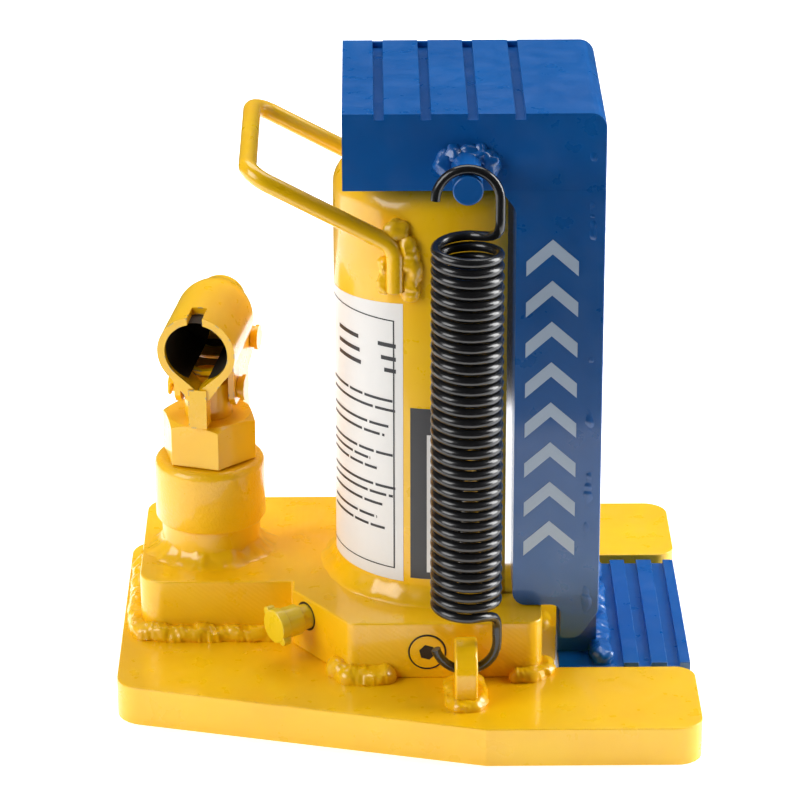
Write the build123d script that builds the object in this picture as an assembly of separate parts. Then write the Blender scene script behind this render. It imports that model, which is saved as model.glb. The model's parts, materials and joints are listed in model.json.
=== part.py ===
from build123d import *
import math
import os

# A small hydraulic toe jack with a lifting head and a low toe. Sizes are in millimetres.
# X runs towards the toe, Z is up, and the origin is on the ram axis at the underside of the base.

# Base plate: a flat plate whose two legs reach round the toe
PLATE_THICK = 16
PLATE_LEFT = -128.5
PLATE_RIGHT = 100
PLATE_HALF = 105
PLATE_LEFT_HALF = 66.5
TAPER_START = 16
SLOT_HALF = 52
LEG_OUTER_ROUND = 10
LEG_INNER_ROUND = 8
TAIL_ROUND = 12

# Base block: carries the cylinder and the pump
BLOCK_TOP = 40
BLOCK_RIGHT = 39.5
BLOCK_HALF = 61
BLOCK_LEFT = -121
STEP_START = (-36.5, -BLOCK_HALF)
STEP_END = (-59.2, -30)
PUMP_FACE_Y = -22
BLOCK_ROUND = 9
STEP_ROUND = 5
GALLERY_R = 2.5
GALLERY_Z = 27.5

# Cylinder
TUBE_R = 42
TUBE_WALL = 5
TUBE_TOP = 212
SHOULDER = 10
GLAND_R = 30
GLAND_THICK = 12
LINER_R = 25
BORE_R = 18
RAM_R = 14
RAM_SPIGOT_R = 8
PISTON_BOTTOM = 44
PISTON_LENGTH = 18
RUNNING_GAP = 0.05

# Guide column: a plated bar that the lifting carriage slides on
GUIDE_LEFT = 24.5
GUIDE_RIGHT = 46
GUIDE_HALF = 33.5
GUIDE_TOP = 206

# Lifting carriage
HEAD_LEFT = -38
HEAD_RIGHT = 62
HEAD_HALF = 46
HEAD_BOTTOM = 214.5
HEAD_TOP = 245
HEAD_ROUND = 10
GROOVE_CENTRES = (-24.1, -6.3, 11.4, 29.3)
GROOVE_WIDTH = 4
GROOVE_DEPTH = 2.4
GROOVE_STOP = 2
CHEEK_LEFT = 28
CHEEK_THICK = 12
CHEEK_BOTTOM = 40.5
WEB_LEFT = 46.5
LEG_BOTTOM = 26
SEAM_ROUND = 5
TOE_TIP = 99
TOE_HALF = 48
TOE_BOTTOM = 1.5
TOE_FLOOR = 14
RIB_TOP = 15.7
RIBS = ((72.4, 78.5), (83.4, 89.8), (94.7, TOE_TIP))

# Return springs with the pins and lugs that hold them
SPRING_X = 8.8
SPRING_Y = 74
WIRE_R = 1.9
COIL_R = 12.1
COIL_BOTTOM = 53
COIL_TOP = 204
TURNS = 35
HOOK_R = 12.1
LOW_HOOK_Z = 38.3
PIN_Z = 225.2
PIN_R = 5.75
PIN_END = 76.8
LUG_THICK = 9
LUG_TOP = 38.5
LUG_FRONT = 88
LUG_HOLE_R = 3.2
LUG_HOLE_Z = 27

# Hand pump: everything above the gland nut is turned a little about the plunger
PUMP_X = -93
PUMP_Y = 14
PUMP_TURN = -10.8
STUB_R = 20
STUB_TOP = 54
COLLAR_R = 22.3
COLLAR_TOP = 81
NUT_FLATS = 34.4
NUT_TOP = 99
NUT_TURN = 12.4
PLUNGER_R = 9.6
PLUNGER_BOTTOM = 58
PLUNGER_TOP = 116.5
PLUNGER_PIN_Z = 110.6
PIVOT_R = 3.5
PIVOT_FIT = 0.08
FULCRUM_Q = 26
FULCRUM_Z = 122
ANCHOR_Q = 27.4
ANCHOR_Z = 72
OPEN_PIVOT_GAP = 0.7
LUG_IN = 9.9
LUG_OUT = 12.4
EAR_HALF = 6
STRAP_IN = 6.3
STRAP_OUT = 9.5
PIN_HEAD = 3
STRAP_HALF = 5.4

# Handle socket: a rolled tube with its seam pinched to a point at the mouth and its rear end drawn in
SOCKET_R = 15.75
SOCKET_BORE_R = 12.75
SOCKET_DEPTH = 34
SOCKET_Z = 133.6
SOCKET_TILT = 4.5
SOCKET_FRONT = -20
SOCKET_NECK = 15
NECK_SECTIONS = ((SOCKET_NECK, SOCKET_R), (19.5, 14.2), (24, 11.4), (28.5, 9.6))
NECK_RISE = 0.35
HEAD_CLEARANCE_R = 11.8
PINCH_LENGTH = 12
PINCH_OUT = 21.5
PINCH_IN = 17
NOTCH_WIDTH = 6.2
NOTCH_LENGTH = 8.5

# Release valve, square to the sloping face of the block
VALVE_ALONG = 0.24
VALVE_LEAN = 0.85
VALVE_R = 5.2
VALVE_BARREL_R = 6.3
VALVE_HEAD_R = 7
VALVE_Z = 32
VALVE_REACH = 12

# Safety valve plug in the front of the block
PLUG_X = -6
PLUG_R = 7
PLUG_DEPTH = 9
PLUG_HEX = 6

# Carry handle
BAR_R = 3.5
BAR_Y = 42
BAR_FOOT = (-18, 172)
BAR_BEND = (-18, 190.5)
BAR_END = (-74, 220.5)
BEND_R = 9

parts = {}


# Helpers

def block(x0, x1, y0, y1, z0, z1):
    """A box given by its two corners."""
    size = (x1 - x0, y1 - y0, z1 - z0)
    return Pos((x0 + x1) / 2, (y0 + y1) / 2, (z0 + z1) / 2) * Box(*size)


def rod(start, end, radius):
    """A round bar between two points."""
    way = Vector(*end) - Vector(*start)
    plane = Plane(origin=start, z_dir=way)
    return extrude(plane * Circle(radius), amount=way.length)


def post(x, y, z0, z1, radius):
    """An upright round bar."""
    return rod((x, y, z0), (x, y, z1), radius)


def slab(points, z0, z1):
    """A plate with the given outline in plan."""
    face = make_face(Polyline(*points, close=True))
    return Pos(0, 0, z0) * extrude(face, amount=z1 - z0)


def side_plate(points, y0, y1):
    """An upright plate with the given (x, z) outline, from y0 to y1."""
    face = make_face(Polyline(*[(x, y1, z) for x, z in points], close=True))
    return extrude(face, amount=y1 - y0, dir=(0, -1, 0))


def upright_edges(solid, places):
    """The vertical edges of a solid that stand at the given places in plan."""
    found = []
    for edge in solid.edges().filter_by(Axis.Z):
        centre = edge.center()
        if any(math.dist((centre.X, centre.Y), place) < 0.5 for place in places):
            found.append(edge)
    return found


def turned(points):
    """A solid of revolution about Z with the given (radius, z) outline."""
    face = make_face(Polyline(*[(r, 0, z) for r, z in points], close=True))
    return revolve(face, Axis.Z)


def mirrored(solid):
    """The same piece on the far side of the jack."""
    return mirror(solid, about=Plane.XZ)


def pump_place(solid):
    """Moves a piece drawn about its own plunger axis to its place on the base."""
    return Pos(PUMP_X, PUMP_Y, 0) * Rot(0, 0, PUMP_TURN) * solid


# Base

def make_base_plate():
    outline = [(PLATE_LEFT, -PLATE_LEFT_HALF), (TAPER_START, -PLATE_HALF), (PLATE_RIGHT, -PLATE_HALF),
               (PLATE_RIGHT, -SLOT_HALF), (GUIDE_LEFT, -SLOT_HALF), (GUIDE_LEFT, SLOT_HALF),
               (PLATE_RIGHT, SLOT_HALF), (PLATE_RIGHT, PLATE_HALF), (TAPER_START, PLATE_HALF),
               (PLATE_LEFT, PLATE_LEFT_HALF)]
    plate = slab(outline, 0, PLATE_THICK)
    rounds = {TAIL_ROUND: (PLATE_LEFT, PLATE_LEFT_HALF), LEG_OUTER_ROUND: (PLATE_RIGHT, PLATE_HALF),
              LEG_INNER_ROUND: (PLATE_RIGHT, SLOT_HALF)}
    for radius, (x, y) in rounds.items():
        plate = fillet(upright_edges(plate, [(x, -y), (x, y)]), radius)
    return plate


def valve_point(distance):
    """A point on the release valve axis, measured outwards from the sloping face."""
    x = STEP_END[0] + VALVE_ALONG * (STEP_START[0] - STEP_END[0])
    y = STEP_END[1] + VALVE_ALONG * (STEP_START[1] - STEP_END[1])
    run = math.dist(STEP_START, STEP_END)
    out_x = -(STEP_END[1] - STEP_START[1]) / run
    out_y = (STEP_END[0] - STEP_START[0]) / run
    return (x + distance * out_x, y + distance * out_y, VALVE_Z)


def make_base_block():
    outline = [(BLOCK_LEFT, PUMP_FACE_Y), (STEP_END[0], PUMP_FACE_Y), STEP_END, STEP_START,
               (BLOCK_RIGHT, -BLOCK_HALF), (BLOCK_RIGHT, BLOCK_HALF), (BLOCK_LEFT, BLOCK_HALF)]
    body = slab(outline, PLATE_THICK, BLOCK_TOP)
    corners = [(BLOCK_LEFT, PUMP_FACE_Y), (BLOCK_LEFT, BLOCK_HALF), (BLOCK_RIGHT, -BLOCK_HALF),
               (BLOCK_RIGHT, BLOCK_HALF)]
    body = fillet(upright_edges(body, corners), BLOCK_ROUND)
    body = fillet(upright_edges(body, [STEP_START]), STEP_ROUND)
    body -= block(GUIDE_LEFT, BLOCK_RIGHT + 1, -GUIDE_HALF, GUIDE_HALF, PLATE_THICK, BLOCK_TOP)
    # safety valve bore, pressure gallery and release valve bore
    body -= rod((PLUG_X, -BLOCK_HALF, GALLERY_Z), (PLUG_X, -BLOCK_HALF + PLUG_DEPTH, GALLERY_Z), PLUG_R)
    body -= rod((PLUG_X, -BLOCK_HALF, GALLERY_Z), (PLUG_X, -BLOCK_HALF + 30, GALLERY_Z), 4)
    body -= rod((PLUG_X, -BLOCK_HALF, GALLERY_Z), (PLUG_X, 0, GALLERY_Z), GALLERY_R)
    body -= post(PLUG_X, 0, GALLERY_Z, BLOCK_TOP, GALLERY_R)
    body -= rod((PUMP_X, PUMP_Y, GALLERY_Z), (PLUG_X, 0, GALLERY_Z), GALLERY_R)
    body -= post(PUMP_X, PUMP_Y, GALLERY_Z, BLOCK_TOP, GALLERY_R)
    body -= post(PUMP_X, PUMP_Y, BLOCK_TOP - 7, BLOCK_TOP, 4)
    body -= rod(valve_point(1), valve_point(-18), VALVE_R + RUNNING_GAP)
    body -= rod(valve_point(1), valve_point(-2), VALVE_R + 1.5)
    body -= rod(valve_point(-18), valve_point(-25), GALLERY_R)
    return body


def make_guide_column():
    column = block(GUIDE_LEFT, GUIDE_RIGHT, -GUIDE_HALF, GUIDE_HALF, 1, GUIDE_TOP)
    column -= post(0, 0, BLOCK_TOP, GUIDE_TOP + 1, TUBE_R)
    return column


def make_spring_lug():
    """The eye plate in front of the block that holds the lower end of the front spring."""
    half = (LUG_FRONT - BLOCK_HALF) / 2
    middle = -(LUG_FRONT + BLOCK_HALF) / 2
    plate = block(SPRING_X - LUG_THICK / 2, SPRING_X + LUG_THICK / 2, middle - half, middle + half,
                  PLATE_THICK, LUG_TOP)
    top_edges = plate.edges().filter_by(Axis.X).sort_by(Axis.Z)[-2:]
    plate = fillet(top_edges, half - 3)
    hole_ends = [(SPRING_X + side * LUG_THICK, -SPRING_Y, LUG_HOLE_Z) for side in (-1, 1)]
    return plate - rod(*hole_ends, LUG_HOLE_R)


def make_carry_handle():
    """A bent bar whose two ends stand on the sides of the cylinder."""
    points = [(BAR_FOOT[0], -BAR_Y, BAR_FOOT[1]), (BAR_BEND[0], -BAR_Y, BAR_BEND[1]),
              (BAR_END[0], -BAR_Y, BAR_END[1]), (BAR_END[0], BAR_Y, BAR_END[1]),
              (BAR_BEND[0], BAR_Y, BAR_BEND[1]), (BAR_FOOT[0], BAR_Y, BAR_FOOT[1])]
    path = FilletPolyline(*points, radius=BEND_R)
    return sweep(Plane(origin=points[0], z_dir=(0, 0, 1)) * Circle(BAR_R), path=path)


parts["base_plate"] = make_base_plate()
parts["base_block"] = make_base_block()
parts["guide_column"] = make_guide_column()
parts["front_spring_lug"] = make_spring_lug()
parts["back_spring_lug"] = mirrored(make_spring_lug())
parts["carry_handle"] = make_carry_handle()


# Cylinder

def make_reservoir_tube():
    inner = TUBE_R - TUBE_WALL
    tube = turned([(TUBE_R, BLOCK_TOP), (TUBE_R, TUBE_TOP), (GLAND_R, TUBE_TOP),
                   (GLAND_R, TUBE_TOP - GLAND_THICK), (inner, TUBE_TOP - GLAND_THICK), (inner, BLOCK_TOP)])
    rim = [e for e in tube.edges().filter_by(GeomType.CIRCLE) if abs(e.radius - TUBE_R) < 0.1]
    return fillet(sorted(rim, key=lambda e: e.center().Z)[-1:], SHOULDER)


def make_ram_gland():
    ring = post(0, 0, TUBE_TOP - GLAND_THICK, TUBE_TOP, GLAND_R)
    ring -= post(0, 0, TUBE_TOP - GLAND_THICK, TUBE_TOP, RAM_R + RUNNING_GAP)
    return ring - post(0, 0, TUBE_TOP - 6, TUBE_TOP - 2, RAM_R + 2.5)


def make_ram_seal():
    ring = post(0, 0, TUBE_TOP - 6, TUBE_TOP - 2, RAM_R + 2.5)
    return ring - post(0, 0, TUBE_TOP - 6, TUBE_TOP - 2, RAM_R + 0.03)


def make_cylinder_liner():
    liner_top = TUBE_TOP - GLAND_THICK
    return post(0, 0, BLOCK_TOP, liner_top, LINER_R) - post(0, 0, BLOCK_TOP, liner_top, BORE_R)


def make_piston():
    top = PISTON_BOTTOM + PISTON_LENGTH
    solid = post(0, 0, PISTON_BOTTOM, top, BORE_R - RUNNING_GAP)
    solid -= post(0, 0, PISTON_BOTTOM, top, RAM_SPIGOT_R)
    groove = post(0, 0, PISTON_BOTTOM + 6, PISTON_BOTTOM + 11, BORE_R)
    return solid - (groove - post(0, 0, PISTON_BOTTOM + 6, PISTON_BOTTOM + 11, BORE_R - 3))


def make_piston_seal():
    ring = post(0, 0, PISTON_BOTTOM + 6, PISTON_BOTTOM + 11, BORE_R - 0.03)
    return ring - post(0, 0, PISTON_BOTTOM + 6, PISTON_BOTTOM + 11, BORE_R - 3)


def make_ram():
    shaft = post(0, 0, PISTON_BOTTOM + PISTON_LENGTH, HEAD_BOTTOM, RAM_R)
    return shaft + post(0, 0, PISTON_BOTTOM, PISTON_BOTTOM + PISTON_LENGTH, RAM_SPIGOT_R)


def make_label(start, end, z0, z1):
    """A thin label bent round the cylinder, between two angles counted from the front."""
    ring = post(0, 0, z0, z1, TUBE_R + 0.2) - post(0, 0, z0, z1, TUBE_R)
    reach = 2 * TUBE_R
    middle = math.radians((start + end) / 2)
    corners = [(0, 0)]
    for angle in (math.radians(start), middle, math.radians(end)):
        corners.append((reach * math.sin(angle), -reach * math.cos(angle)))
    return ring & slab(corners, z0, z1)


parts["reservoir_tube"] = make_reservoir_tube()
parts["ram_gland"] = make_ram_gland()
parts["ram_seal"] = make_ram_seal()
parts["cylinder_liner"] = make_cylinder_liner()
parts["ram"] = make_ram()
parts["piston"] = make_piston()
parts["piston_seal"] = make_piston_seal()
parts["white_label"] = make_label(-82, -18, 48, 157)
parts["dark_label"] = make_label(-17, 12, 50, 123)


# Lifting carriage

def make_head():
    head = block(HEAD_LEFT, HEAD_RIGHT, -HEAD_HALF, HEAD_HALF, HEAD_BOTTOM, HEAD_TOP)
    top_right = head.edges().filter_by(Axis.Y).sort_by(Axis.Z)[-2:].sort_by(Axis.X)[-1]
    head = fillet(top_right, HEAD_ROUND)
    for centre in GROOVE_CENTRES:
        head -= block(centre - GROOVE_WIDTH / 2, centre + GROOVE_WIDTH / 2, -HEAD_HALF,
                      HEAD_HALF - GROOVE_STOP, HEAD_TOP - GROOVE_DEPTH, HEAD_TOP)
    return head


def make_cheek():
    """The front side plate, which narrows to a short leg at its lower end."""
    outline = [(CHEEK_LEFT, HEAD_BOTTOM), (CHEEK_LEFT, CHEEK_BOTTOM + 5), (CHEEK_LEFT + 1.5, CHEEK_BOTTOM + 1.5),
               (CHEEK_LEFT + 5, CHEEK_BOTTOM), (WEB_LEFT - 4, CHEEK_BOTTOM), (WEB_LEFT - 0.6, CHEEK_BOTTOM - 1.2),
               (WEB_LEFT + 0.6, CHEEK_BOTTOM - 4.5), (WEB_LEFT + 0.6, LEG_BOTTOM), (HEAD_RIGHT - 8, LEG_BOTTOM),
               (HEAD_RIGHT, LEG_BOTTOM + 11), (HEAD_RIGHT, HEAD_BOTTOM)]
    plate = side_plate(outline, -HEAD_HALF, -HEAD_HALF + CHEEK_THICK)
    return fillet(upright_edges(plate, [(HEAD_RIGHT, -HEAD_HALF)]), SEAM_ROUND)


def make_web():
    inner = HEAD_HALF - CHEEK_THICK
    return block(WEB_LEFT, HEAD_RIGHT, -inner, inner, TOE_FLOOR, HEAD_BOTTOM)


def make_toe_plate():
    toe = block(WEB_LEFT, TOE_TIP, -TOE_HALF, TOE_HALF, TOE_BOTTOM, TOE_FLOOR)
    for start, end in RIBS:
        toe += block(start, end, -TOE_HALF, TOE_HALF, TOE_FLOOR, RIB_TOP)
    return toe


def make_spring_pin():
    pin = rod((SPRING_X, -HEAD_HALF, PIN_Z), (SPRING_X, -PIN_END, PIN_Z), PIN_R)
    return chamfer(pin.edges().filter_by(GeomType.CIRCLE).sort_by(Axis.Y)[0], 0.8)


def make_pin_weld():
    """The heavy bead round the root of the front spring pin."""
    near = Plane(origin=(SPRING_X, -HEAD_HALF, PIN_Z), z_dir=(0, -1, 0))
    bead = extrude(near * Circle(10.5), amount=5, taper=30)
    return bead - rod((SPRING_X, -HEAD_HALF, PIN_Z), (SPRING_X, -PIN_END, PIN_Z), PIN_R)


parts["head"] = make_head()
parts["front_cheek"] = make_cheek()
parts["back_cheek"] = mirrored(make_cheek())
parts["web"] = make_web()
parts["toe_plate"] = make_toe_plate()
parts["front_spring_pin"] = make_spring_pin()
parts["back_spring_pin"] = mirrored(make_spring_pin())
parts["front_pin_weld"] = make_pin_weld()
parts["back_pin_weld"] = mirrored(make_pin_weld())
parts["front_decal"] = block(CHEEK_LEFT + 5, HEAD_RIGHT - 9, -HEAD_HALF - 0.2, -HEAD_HALF, 62, 196)


# Return springs

def make_spring():
    """A close-wound spring with a half hook at each end, in front of the jack."""
    height = COIL_TOP - COIL_BOTTOM
    coil = Pos(SPRING_X, -SPRING_Y, COIL_BOTTOM) * Helix(height / TURNS, height, COIL_R, lefthand=True)
    spring = sweep(Plane(origin=coil @ 0, z_dir=coil % 0) * Circle(WIRE_R), path=coil, is_frenet=True)
    top_z = PIN_Z + PIN_R + WIRE_R + 0.05 - HOOK_R
    side = SPRING_X + HOOK_R
    for end_z, ring_z, sweep_angle, lean in ((COIL_TOP - 0.4, top_z, 180, 0.3),
                                             (COIL_BOTTOM + 0.4, LOW_HOOK_Z, -165, -0.3)):
        hook_y = -SPRING_Y + lean
        shank = Line((side, hook_y, end_z), (side, hook_y, ring_z))
        points = []
        for share in (0.5, 1):
            angle = math.radians(share * sweep_angle)
            points.append((SPRING_X + HOOK_R * math.cos(angle), hook_y, ring_z + HOOK_R * math.sin(angle)))
        hook = Wire([shank, ThreePointArc(shank @ 1, *points)])
        spring += sweep(Plane(origin=shank @ 0, z_dir=shank % 0) * Circle(WIRE_R), path=hook)
    return spring


parts["front_spring"] = make_spring()
parts["back_spring"] = mirrored(parts["front_spring"])


# Hand pump

def make_pump_base():
    solid = post(0, 0, BLOCK_TOP, STUB_TOP, STUB_R) - post(0, 0, BLOCK_TOP, STUB_TOP, 6)
    return pump_place(solid)


def make_pump_collar():
    solid = post(0, 0, STUB_TOP, COLLAR_TOP, COLLAR_R)
    solid = fillet(solid.edges().filter_by(GeomType.CIRCLE).sort_by(Axis.Z)[-1], 3)
    solid = chamfer(solid.edges().filter_by(GeomType.CIRCLE).sort_by(Axis.Z)[0], 1)
    return pump_place(solid - post(0, 0, STUB_TOP, COLLAR_TOP, PLUNGER_R + RUNNING_GAP))


def make_gland_nut():
    hexagon = RegularPolygon(NUT_FLATS / 2, 6, major_radius=False, rotation=NUT_TURN - PUMP_TURN - 90)
    nut = Pos(0, 0, COLLAR_TOP) * extrude(hexagon, amount=NUT_TOP - COLLAR_TOP)
    cone = turned([(0, COLLAR_TOP), (24, COLLAR_TOP), (24, NUT_TOP - 2.6), (17.2, NUT_TOP), (0, NUT_TOP)])
    nut &= cone
    nut -= post(0, 0, COLLAR_TOP, NUT_TOP, PLUNGER_R + RUNNING_GAP)
    return pump_place(nut - post(0, 0, COLLAR_TOP, COLLAR_TOP + 7, 12))


def make_plunger_seal():
    ring = post(0, 0, COLLAR_TOP, COLLAR_TOP + 7, 12)
    return pump_place(ring - post(0, 0, COLLAR_TOP, COLLAR_TOP + 7, PLUNGER_R + 0.03))


def make_plunger():
    solid = post(0, 0, PLUNGER_BOTTOM, PLUNGER_TOP, PLUNGER_R)
    solid = chamfer(solid.edges().filter_by(GeomType.CIRCLE), 3)
    hole = rod((-20, 0, PLUNGER_PIN_Z), (20, 0, PLUNGER_PIN_Z), PIVOT_R + PIVOT_FIT)
    return pump_place(solid - hole)


def make_fulcrum_ear():
    """The lug behind the pump collar that the links are pinned to."""
    solid = block(-EAR_HALF, EAR_HALF, 15, ANCHOR_Q, ANCHOR_Z - STRAP_HALF, ANCHOR_Z + STRAP_HALF)
    solid += rod((-EAR_HALF, ANCHOR_Q, ANCHOR_Z), (EAR_HALF, ANCHOR_Q, ANCHOR_Z), STRAP_HALF)
    solid -= post(0, 0, STUB_TOP, COLLAR_TOP, COLLAR_R)
    return pump_place(solid - rod((-20, ANCHOR_Q, ANCHOR_Z), (20, ANCHOR_Q, ANCHOR_Z), PIVOT_R))


def make_link_strap(side):
    """One of the two straps between the ear and the back of the handle socket."""
    inner = side * STRAP_IN
    outer = side * STRAP_OUT
    low, high = (inner, ANCHOR_Q, ANCHOR_Z), (inner, FULCRUM_Q, FULCRUM_Z)
    low_end, high_end = (outer, ANCHOR_Q, ANCHOR_Z), (outer, FULCRUM_Q, FULCRUM_Z)
    strap = rod(low, low_end, STRAP_HALF) + rod(high, high_end, STRAP_HALF)
    lean = math.degrees(math.atan2(ANCHOR_Q - FULCRUM_Q, FULCRUM_Z - ANCHOR_Z))
    length = math.dist(low, high)
    bar = Box(abs(outer - inner), 2 * STRAP_HALF, length)
    middle = ((inner + outer) / 2, (ANCHOR_Q + FULCRUM_Q) / 2, (ANCHOR_Z + FULCRUM_Z) / 2)
    strap += Pos(*middle) * Rot(lean, 0, 0) * bar
    strap -= rod((-20, ANCHOR_Q, ANCHOR_Z), (20, ANCHOR_Q, ANCHOR_Z), PIVOT_R + PIVOT_FIT)
    return pump_place(strap - rod((-20, FULCRUM_Q, FULCRUM_Z), (20, FULCRUM_Q, FULCRUM_Z), PIVOT_R))


def make_pivot_pin(q, z, head_at, head_thick):
    """A cross pin with a stepped head on its right and a hole for a split pin on its left."""
    step = head_at + head_thick / 2
    pin = rod((-head_at - 3.2, q, z), (head_at + 0.5, q, z), PIVOT_R)
    pin += rod((head_at, q, z), (step, q, z), PIVOT_R + 0.9)
    pin += rod((step, q, z), (head_at + head_thick, q, z), PIVOT_R + 1.7)
    return pump_place(pin - rod((-head_at - 1.5, q - 6, z), (-head_at - 1.5, q + 6, z), 0.8))


def make_split_pin(q, z, head_at, eye_side=-1):
    """A split pin through the left end of a cross pin, with its eye in front (-1) or behind (1)."""
    x = -head_at - 1.5
    pin = rod((x, q + eye_side * 5, z), (x, q - eye_side * 6, z), 0.75)
    eye = Pos(x, q + eye_side * 6.2, z) * Rot(0, 90, 0) * Torus(1.7, 0.75)
    return pump_place(pin + eye)


def socket_axis_z(q):
    """The height of the socket's axis at a distance behind the plunger."""
    return SOCKET_Z + q * math.tan(math.radians(SOCKET_TILT))


def make_socket_neck(axis):
    """The drawn-in rear end of the socket, set a little above the middle of the tube."""
    sections = []
    for q, radius in NECK_SECTIONS:
        centre = (0, q, socket_axis_z(q) + (SOCKET_R - radius) * NECK_RISE)
        sections.append(Plane(origin=centre, x_dir=(1, 0, 0), z_dir=axis) * Circle(radius))
    return loft(sections)


def make_handle_socket():
    """The rolled tube with the two lugs that straddle the plunger."""
    tilt = math.radians(SOCKET_TILT)
    axis = Vector(0, math.cos(tilt), math.sin(tilt))
    front = Vector(0, SOCKET_FRONT, socket_axis_z(SOCKET_FRONT))
    neck = Vector(0, SOCKET_NECK, socket_axis_z(SOCKET_NECK))
    lug_outline = [(-7, 108), (-4, 104.5), (4, 104.5), (FULCRUM_Q + 3, FULCRUM_Z - 6.5),
                   (FULCRUM_Q + 6, FULCRUM_Z - 3), (FULCRUM_Q + 6, FULCRUM_Z + 3), (18, 132), (-8, 128)]
    body = rod(tuple(front), tuple(neck), SOCKET_R) + make_socket_neck(axis)
    for inner in (-LUG_OUT, LUG_IN):
        face = make_face(Polyline(*[(inner, q, z) for q, z in lug_outline], close=True))
        body += extrude(face, amount=LUG_OUT - LUG_IN, dir=(1, 0, 0))
    mouth = Plane(origin=tuple(front), x_dir=(1, 0, 0), z_dir=axis)
    pinch_angle = math.acos(SOCKET_R / PINCH_OUT)
    side = SOCKET_R * math.sin(pinch_angle)
    drop = SOCKET_R * math.cos(pinch_angle)
    down = -1 if mouth.y_dir.Z > 0 else 1
    point = make_face(Polyline((-side, down * drop), (side, down * drop), (3.7, down * PINCH_OUT),
                               (-3.7, down * PINCH_OUT), close=True))
    body += extrude(mouth * point, amount=PINCH_LENGTH)
    body += block(-3.7, 3.7, SOCKET_FRONT + 0.5, SOCKET_FRONT + 7.5, NUT_TOP + 0.6, 116)
    inner_side = SOCKET_BORE_R * math.sin(math.acos(SOCKET_BORE_R / PINCH_IN))
    inner_drop = SOCKET_BORE_R * SOCKET_BORE_R / PINCH_IN
    hollow = make_face(Polyline((-inner_side, down * inner_drop), (inner_side, down * inner_drop),
                                (0, down * PINCH_IN), close=True))
    body -= extrude(mouth * hollow, amount=PINCH_LENGTH - 2)
    body -= rod(tuple(front - axis), tuple(front + axis * SOCKET_DEPTH), SOCKET_BORE_R)
    notch_top = SOCKET_Z + SOCKET_R + 5
    body -= block(-NOTCH_WIDTH / 2, NOTCH_WIDTH / 2, SOCKET_FRONT - 5, SOCKET_FRONT + NOTCH_LENGTH,
                  SOCKET_Z, notch_top)
    # the belly is open where the head of the plunger comes up between the lugs
    body -= rod((-LUG_IN, 0, PLUNGER_PIN_Z), (LUG_IN, 0, PLUNGER_PIN_Z), HEAD_CLEARANCE_R)
    # and recessed for the rounded ends of the links
    for side in (-1, 1):
        body -= rod((side * (STRAP_IN - 0.4), FULCRUM_Q, FULCRUM_Z), (side * LUG_IN, FULCRUM_Q, FULCRUM_Z),
                    STRAP_HALF + 0.6)
    body -= rod((-20, 0, PLUNGER_PIN_Z), (20, 0, PLUNGER_PIN_Z), PIVOT_R)
    open_r = PIVOT_R + OPEN_PIVOT_GAP
    return pump_place(body - rod((-20, FULCRUM_Q, FULCRUM_Z), (20, FULCRUM_Q, FULCRUM_Z), open_r))


parts["pump_base"] = make_pump_base()
parts["pump_collar"] = make_pump_collar()
parts["gland_nut"] = make_gland_nut()
parts["plunger_seal"] = make_plunger_seal()
parts["plunger"] = make_plunger()
parts["fulcrum_ear"] = make_fulcrum_ear()
parts["left_link_strap"] = make_link_strap(-1)
parts["right_link_strap"] = make_link_strap(1)
parts["handle_socket"] = make_handle_socket()
parts["plunger_pin"] = make_pivot_pin(0, PLUNGER_PIN_Z, LUG_OUT + 0.3, PIN_HEAD)
parts["fulcrum_pin"] = make_pivot_pin(FULCRUM_Q, FULCRUM_Z, LUG_OUT + 0.3, PIN_HEAD)
parts["anchor_pin"] = make_pivot_pin(ANCHOR_Q, ANCHOR_Z, STRAP_OUT + 0.3, 2)
parts["plunger_split_pin"] = make_split_pin(0, PLUNGER_PIN_Z, LUG_OUT + 0.3)
parts["fulcrum_split_pin"] = make_split_pin(FULCRUM_Q, FULCRUM_Z, LUG_OUT + 0.3)
parts["anchor_split_pin"] = make_split_pin(ANCHOR_Q, ANCHOR_Z, STRAP_OUT + 0.3, 1)
parts["check_ball"] = Pos(PUMP_X, PUMP_Y, BLOCK_TOP - 4) * Sphere(3)


# Valves in the block

def make_release_valve():
    """The thumb screw: a spindle, a barrel and a round head with two ears."""
    screw = rod(valve_point(-17), valve_point(VALVE_REACH), VALVE_R)
    screw += rod(valve_point(4.5), valve_point(VALVE_REACH), VALVE_BARREL_R)
    screw += rod(valve_point(VALVE_REACH), valve_point(VALVE_REACH + 4), VALVE_HEAD_R)
    near, far = Vector(*valve_point(VALVE_REACH)), Vector(*valve_point(VALVE_REACH + 4))
    run = (Vector(*STEP_END) - Vector(*STEP_START)).normalized()
    lean = Vector(0, 0, math.cos(VALVE_LEAN)) + run * math.sin(VALVE_LEAN)
    for side in (-1, 1):
        lift = lean * side * (VALVE_HEAD_R + 0.5)
        screw += rod(tuple(near + lift), tuple(far + lift), 2)
    return screw


def make_safety_plug():
    end = -BLOCK_HALF + PLUG_DEPTH - 1
    plug = rod((PLUG_X, -BLOCK_HALF, GALLERY_Z), (PLUG_X, end, GALLERY_Z), PLUG_R)
    socket_plane = Plane(origin=(PLUG_X, -BLOCK_HALF, GALLERY_Z), x_dir=(1, 0, 0), z_dir=(0, 1, 0))
    return plug - extrude(socket_plane * RegularPolygon(PLUG_HEX / 2, 6, major_radius=False), amount=5)


def make_safety_spring():
    start = -BLOCK_HALF + PLUG_DEPTH - 0.9
    coil = Helix(2, 15.5, 2.9)
    plane = Plane(origin=(PLUG_X, start + 0.7, GALLERY_Z), x_dir=(1, 0, 0), z_dir=(0, 1, 0))
    wire = sweep(Plane(origin=coil @ 0, z_dir=coil % 0) * Circle(0.5), path=coil, is_frenet=True)
    return plane.location * wire


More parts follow.
